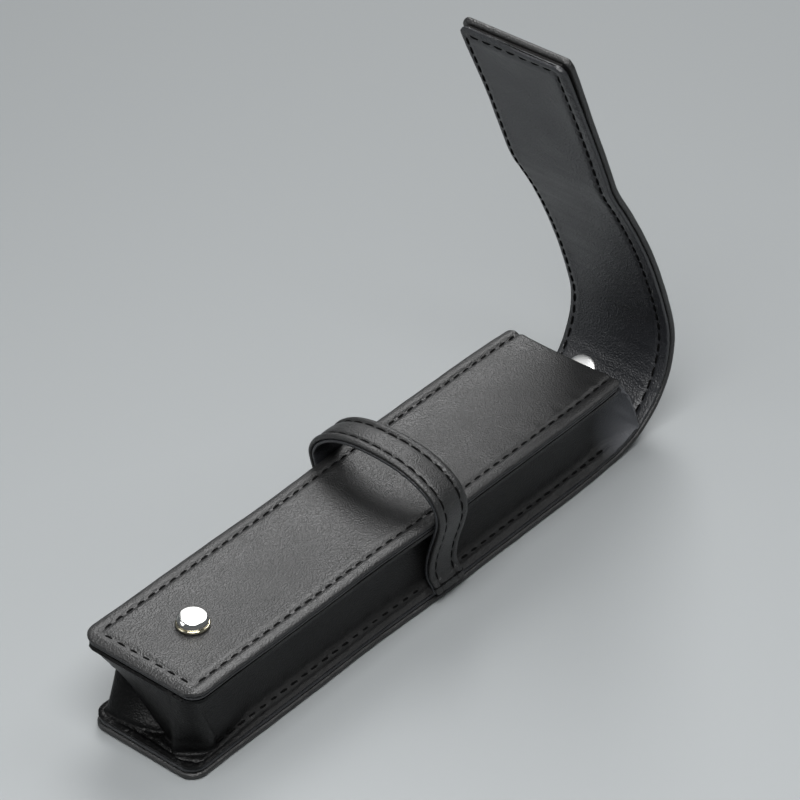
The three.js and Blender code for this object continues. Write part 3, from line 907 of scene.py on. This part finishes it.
def gusset_grid():
    """Rows of points from the lower flange's free edge, up the wall, to the upper flange's edge."""
    low_edge, high_edge = np.array(flange_row(HALF_WIDTH)), np.array(flange_row(FRONT_HALF))
    levels = np.linspace(LOW, HIGH, WALL_LEVELS)
    plans = np.array([wall_row((z - LOW) / (HIGH - LOW), z) for z in levels])

    def wall_at(z):
        place = np.clip((z - LOW) / (HIGH - LOW), 0, 1) * (len(levels) - 1)
        below = np.minimum(place.astype(int), len(levels) - 2)
        part = (place - below)[:, None]
        column = np.arange(len(z))
        plan = plans[below, column] * (1 - part) + plans[below + 1, column] * part
        return np.column_stack([plan, z])

    hump = flange_hump()
    foot = LOW + hump + FOLD_BEND
    head = np.full(len(hump), HIGH - FOLD_BEND)
    rows = flange(low_edge, wall_at(foot)[:, :2], LOW, 1, hump, SEAM_PRESS)
    rows += [wall_at(foot + (head - foot) * u) for u in np.linspace(0, 1, WALL_ROWS)]
    rows += flange(high_edge, wall_at(head)[:, :2], HIGH, -1, np.zeros(len(hump)), 0)[::-1]
    return np.array(rows)


# Past the mouth each side wall flares out into a web. Its lower part is sewn to the flap's root, up
# to this distance from the mouth. Above that its edge is free, as x, y from the mouth and z.
WEB_SEWN = 12.5
WEB_FREE = ((15.0, 8.0, 15.8), (14.4, 4.0, 20.2), (16.0, 0.9, 23.5))
# How many columns it has, and how many of its top rows are drawn in to the front panel's corner.
WEB_COUNT = 26
WEB_JOIN = 10


def web_outline(count):
    """The right web's outer edge, from its foot up to the front panel's corner."""
    sewn = []
    for distance in np.linspace(0.6, WEB_SEWN, 7):
        y, z, angle = path_at(distance)
        out = PANEL / 2 + 0.45
        sewn.append((HALF_WIDTH - 0.6, y - out * math.sin(angle), z + out * math.cos(angle)))
    free = [(x, MOUTH_Y + y, z) for x, y, z in WEB_FREE]
    return even_curve(sewn + free, count)


def web_columns(edge):
    """Columns that carry on from the wall's last one, curling out to the web's outline."""
    outline = web_outline(len(edge))
    fade = np.linspace(1, 0.1, WEB_JOIN)[:, None]
    outline[-WEB_JOIN:] = edge[-WEB_JOIN:] + (outline[-WEB_JOIN:] - edge[-WEB_JOIN:]) * fade
    ahead = np.linalg.norm(outline - edge, axis=1, keepdims=True) * 0.6
    control = edge + np.array((0, 1, 0)) * ahead
    columns = []
    for u in np.linspace(0, 1, WEB_COUNT)[1:]:
        column = quadratic(edge, control, outline, u)
        dents = waves(np.arange(len(edge)) + 14 * u, 3.0, (23, 11), 0.16) * math.sin(math.pi * u)
        column[:, 0] += dents
        columns.append(column)
    return columns


def gusset():
    grid = gusset_grid()
    right = web_columns(grid[:, 0])
    flip = np.array((-1, 1, 1))
    left = [column * flip for column in web_columns(grid[:, -1] * flip)]
    points = np.array(right[::-1] + [grid[:, i] for i in range(grid.shape[1])] + left)
    faces = sheet_faces(*points.shape[:2])
    solid = thick_sheet(points.reshape(-1, 3), faces, GUSSET_THICK)
    piece = mesh_piece("gusset_strip", *solid, GUSSET, "gusset_leather")
    ears = ("gusset_ear_right", "gusset_ear_left")
    replaced = ("gusset_side_right", "gusset_side_left", "gusset_end", *ears)
    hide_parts(*replaced)
    attach(piece, 0, 10, "case", "flap_1")


def back_seam():
    x = HALF_WIDTH - BACK_SEAM_INSET
    end = CLOSED_Y + BACK_SEAM_INSET
    from_edge = BACK_SEAM_INSET - FLANGE_INSET
    reach = HALF_WIDTH - FLANGE_INSET - WALL_LOW_X - FOLD_BEND
    surface = LOW + GUSSET_THICK / 2 + 0.02
    side_top = surface + flange_rise(from_edge, reach, SIDE_HUMP, FLANGE_STITCH_SINK)
    end_top = surface + flange_rise(from_edge, reach, END_HUMP, FLANGE_STITCH_SINK)
    places = []
    for y in spread(end + 4, MOUTH_Y - SEAM_END_GAP):
        if abs(y - KEEPER_FOOT_Y) <= KEEPER_WIDTH / 2 + 1:
            continue
        at = x + side_swell(y - MOUTH_Y)
        places += [((side * at, y, side_top), (0.06, 1, 0), (side * 0.5, 0, 1)) for side in (-1, 1)]
    places += [((at, end, end_top), (1, 0, 0), (0, 0, 1)) for at in spread(-x + 1, 4)]
    seam = mesh_piece("back_panel_stitches", *stitch_mesh(places), THREAD, "thread")
    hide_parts("back_seam_thread", "mouth_seam_thread_right", "mouth_seam_thread_left")
    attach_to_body(seam, "case")


# ---- keeper strap ----

KEEPER_STATIONS, KEEPER_ACROSS = 190, 49
# How far its stitches are from its middle surface, and where the short rows across its feet are.
KEEPER_STITCH_OUT = 0.78
FOOT_SEAM_X = 18.05
FOOT_SEAM_Z = 5.3


def keeper_lean(y, z):
    """A point's y on the keeper, which leans towards the closed end as it rises."""
    return y + KEEPER_FOOT_Y + KEEPER_LEAN * (z - KEEPER_FOOT_Z)


def keeper_ply(name, low, high, material, slot, node, roll, raised):
    """One leaf of the keeper, raised round its two seams if it is the outer one. Gives back the
    keeper's line and its angle at each point."""
    right = list(KEEPER_ARCH) + [KEEPER_TOE]
    left = [(-x, z) for x, z in KEEPER_LEFT]
    points = even_curve(left + right, KEEPER_STATIONS)
    slopes = np.gradient(points, axis=0)
    angles = np.arctan2(slopes[:, 1], slopes[:, 0])
    half = KEEPER_WIDTH / 2
    face = np.linspace(-(half - roll), half - roll, KEEPER_ACROSS)
    across, out = rolled_section(face, half, low, high, roll).T
    if raised:
        gap = half - KEEPER_SEAM_INSET - np.abs(across)
        rim = 0.22 * np.exp(-(((gap + 1.1) / 0.7) ** 2))
        middle_swell = 0.14 * smooth_step(0.3, 2.0, gap)
        groove = -0.4 * np.exp(-((gap / 0.36) ** 2)) + rim + middle_swell
        out = out + np.where(out > (low + high) / 2, groove, 0)
    rings = []
    for (x, z), angle in zip(points, angles):
        px = x - out * math.sin(angle)
        pz = z + out * math.cos(angle)
        rings.append(np.column_stack([px, keeper_lean(across, pz), pz]))
    piece = mesh_piece(name, *loft(rings), material, slot)
    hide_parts(node)
    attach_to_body(piece, "case")
    return points, angles


def keeper():
    points, angles = keeper_ply(
        "keeper_strap", *KEEPER_SKIN, SKIN, "outer_leather", "keeper_strap_leather",
        KEEPER_SKIN_ROLL, True,
    )
    keeper_ply(
        "keeper_strap_liner", *KEEPER_LINING, LINING, "lining_leather", "keeper_strap_lining",
        KEEPER_LINING_ROLL, False,
    )
    run = run_along(points)
    offset = KEEPER_WIDTH / 2 - KEEPER_SEAM_INSET
    for name, side in (("near", -1), ("far", 1)):
        places = []
        for distance in spread(KEEPER_SEAM_GAP, run[-1] - KEEPER_SEAM_GAP):
            x, z = (np.interp(distance, run, points[:, k]) for k in range(2))
            angle = np.interp(distance, run, angles)
            along = (math.cos(angle), 0, math.sin(angle))
            normal = (-math.sin(angle), 0, math.cos(angle))
            px, pz = x + KEEPER_STITCH_OUT * normal[0], z + KEEPER_STITCH_OUT * normal[2]
            places.append(((px, keeper_lean(side * offset, pz), pz), along, normal))
        if name == "near":
            for across in np.linspace(-3.8, 3.8, 5):
                for flip in (1, -1):
                    place = (flip * FOOT_SEAM_X, keeper_lean(across, FOOT_SEAM_Z), FOOT_SEAM_Z)
                    places.append((place, (0, 1, 0), (flip, 0, 0.4)))
        stitches = stitch_mesh(places, KEEPER_STITCH_LENGTH, FINE_STITCH_RADIUS)
        seam = mesh_piece(f"keeper_stitches_{name}", *stitches, THREAD, "thread")
        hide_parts(f"keeper_seam_thread_{name}")
        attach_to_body(seam, "case")


# ---- metal ----

TURNED_SIDES = 96
CORNER_RADIUS = 0.12
CORNER_STEPS = 3
# The stud's ring and cap, as r, z above the leather.
RING_PROFILE = ((1.6, 0.1), (4.15, 0.1), (4.25, 0.35), (3.98, 0.7), (1.6, 0.7))
CAP_PROFILE = ((0.02, 0.8), (3.7, 0.8), (3.85, 1.0), (3.85, 1.75), (3.3, 2.42), (0.02, 2.45))


def turned_piece(name, profile, material, slot, place, body, node):
    """A piece turned about its own Z axis from r, z points, put in place by a matrix in millimetres."""
    angles = np.linspace(0, 2 * math.pi, TURNED_SIDES, endpoint=False)
    circle = np.column_stack([np.cos(angles), np.sin(angles), np.ones(TURNED_SIDES)])
    points, faces = loft([circle * (r, r, z) for r, z in profile])
    moved = [tuple(place @ Vector(p)) for p in points]
    piece = mesh_piece(name, moved, faces, material, slot)
    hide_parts(node)
    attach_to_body(piece, body)


def rounded_profile(points):
    """Rounds the corners of an r, z profile, except its two ends."""
    result = [points[0]]
    for before, here, after in zip(points, points[1:], points[2:]):
        before, here, after = np.array(before), np.array(here), np.array(after)
        to_before, to_after = np.linalg.norm(before - here), np.linalg.norm(after - here)
        reach = min(CORNER_RADIUS, to_before / 2, to_after / 2)
        start = here + (before - here) / to_before * reach
        end = here + (after - here) / to_after * reach
        for t in np.linspace(0, 1, CORNER_STEPS + 1):
            result.append(tuple(quadratic(start, here, end, t)))
    return result + [points[-1]]


def stud():
    place = Matrix.Translation((STUD_CENTRE[0], STUD_CENTRE[1], TOP_Z))
    turned_piece(
        "stud_ring", rounded_profile(RING_PROFILE), WARM_REFLECTION_METAL, "stud_nickel", place, "case",
        "stud_base_ring",
    )
    turned_piece(
        "stud_top", rounded_profile(CAP_PROFILE), POLISHED, "polished_metal", place, "case",
        "stud_cap",
    )


def flap_rivet():
    y, z, angle = path_at(RIVET_ALONG)
    out = PANEL / 2
    place = Matrix.Translation((RIVET_X, y - out * math.sin(angle), z + out * math.cos(angle)))
    place = place @ Matrix.Rotation(angle, 4, "X")
    radius = RIVET_RADIUS
    dome = [(0.02, 0.3), (radius - 0.2, 0.3), (radius, 0.6)]
    for a in np.linspace(0.1, 1.56, 14):
        dome.append((radius * math.cos(a) ** 0.7, 0.7 + 0.8 * math.sin(a)))
    turned_piece("flap_rivet", dome, SATIN, "polished_metal", place, "flap_2", "flap_rivet_head")


# ---- carried-over CAD nodes ----


def dress_cad_nodes():
    boards = ("back_panel_stiffener", "front_panel_stiffener", "flap_stiffener_4", "flap_stiffener_5")
    metals = ("stud_post", "stud_inner_head", "flap_rivet_post", "flap_rivet_washer")
    for names, material in ((boards, BOARD), (metals, WARM_REFLECTION_METAL)):
        for name in names:
            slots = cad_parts[name].data.materials
            slots.clear()
            slots.append(material)


# ---- floor, light and camera ----


def stage():
    mesh = bpy.data.meshes.new("floor")
    reach = 4.0
    corners = [(-reach, -reach, 0), (reach, -reach, 0), (reach, reach, 0), (-reach, reach, 0)]
    mesh.from_pydata(corners, [], [(0, 1, 2, 3)])
    floor = bpy.data.objects.new("floor", mesh)
    bpy.context.scene.collection.objects.link(floor)
    material, _, shader = new_material("pale_floor")
    shader.inputs["Base Color"].default_value = (0.285, 0.299, 0.305, 1)
    shader.inputs["Roughness"].default_value = 0.55
    shader.inputs["Specular IOR Level"].default_value = 0.25
    mesh.materials.append(material)


# Square lights: a place and the point it faces in metres, the side in metres and the power in watts.
LIGHTS = (
    ("back_softbox", (-0.42, 0.70, 1.06), (0, 0, 0), 0.65, 10.5),
    ("low_back_card", (-0.66, 0.74, 0.80), (0, 0, 0), 0.4, 1.0),
    ("right_back_softbox", (0.26, 0.78, 0.95), (0, 0, 0), 0.5, 2.5),
    ("front_softbox", (0.14, -0.2, 0.5), (0.14, -0.2, 0), 0.35, 3.6),
    ("left_softbox", (-0.67, -0.82, 0.75), (0, 0, 0.03), 0.7, 2.0),
)


def lights():
    for name, place, target, side, power in LIGHTS:
        data = bpy.data.lights.new(name, "AREA")
        data.shape = "RECTANGLE"
        data.size = data.size_y = side
        data.energy = power
        light = bpy.data.objects.new(name, data)
        light.location = place
        light.rotation_euler = (Vector(target) - Vector(place)).to_track_quat("-Z", "Y").to_euler()
        bpy.context.scene.collection.objects.link(light)
    world = bpy.data.worlds.new("studio")
    world.use_nodes = True
    background = world.node_tree.nodes["Background"]
    background.inputs["Color"].default_value = (0.80, 0.85, 0.88, 1)
    background.inputs["Strength"].default_value = 0.13
    bpy.context.scene.world = world


# The camera looks along one line past the case: its turn round the case and its height angle in
# degrees, its distance, and how far the line passes to the side of and above the origin.
CAMERA_AZIMUTH = 40.02
CAMERA_ELEVATION = 36.34
CAMERA_DISTANCE = 890.2
CAMERA_ASIDE = 9.0
CAMERA_ABOVE = 46.6
CAMERA_LENS = 162.0
CAMERA_SENSOR = 36


def camera():
    azimuth, elevation = math.radians(CAMERA_AZIMUTH), math.radians(CAMERA_ELEVATION)
    level = math.cos(elevation)
    back = Vector((math.sin(azimuth) * level, -math.cos(azimuth) * level, math.sin(elevation)))
    right = Vector((math.cos(azimuth), math.sin(azimuth), 0))
    up = back.cross(right)
    data = bpy.data.cameras.new("camera")
    data.lens = CAMERA_LENS
    data.sensor_width = CAMERA_SENSOR
    data.clip_start = 0.01
    view = bpy.data.objects.new("camera", data)
    place = (right * CAMERA_ASIDE + up * CAMERA_ABOVE + back * CAMERA_DISTANCE) * MM
    turn = Matrix((right, up, back)).transposed().to_4x4()
    view.matrix_world = Matrix.Translation(place) @ turn
    bpy.context.scene.collection.objects.link(view)
    bpy.context.scene.camera = view


camera()
stage()
lights()
front_panel()
front_seam()
back_and_flap()
flap_seams()
gusset()
back_seam()
keeper()
stud()
flap_rivet()
dress_cad_nodes()

bpy.context.scene.view_settings.view_transform = "Standard"
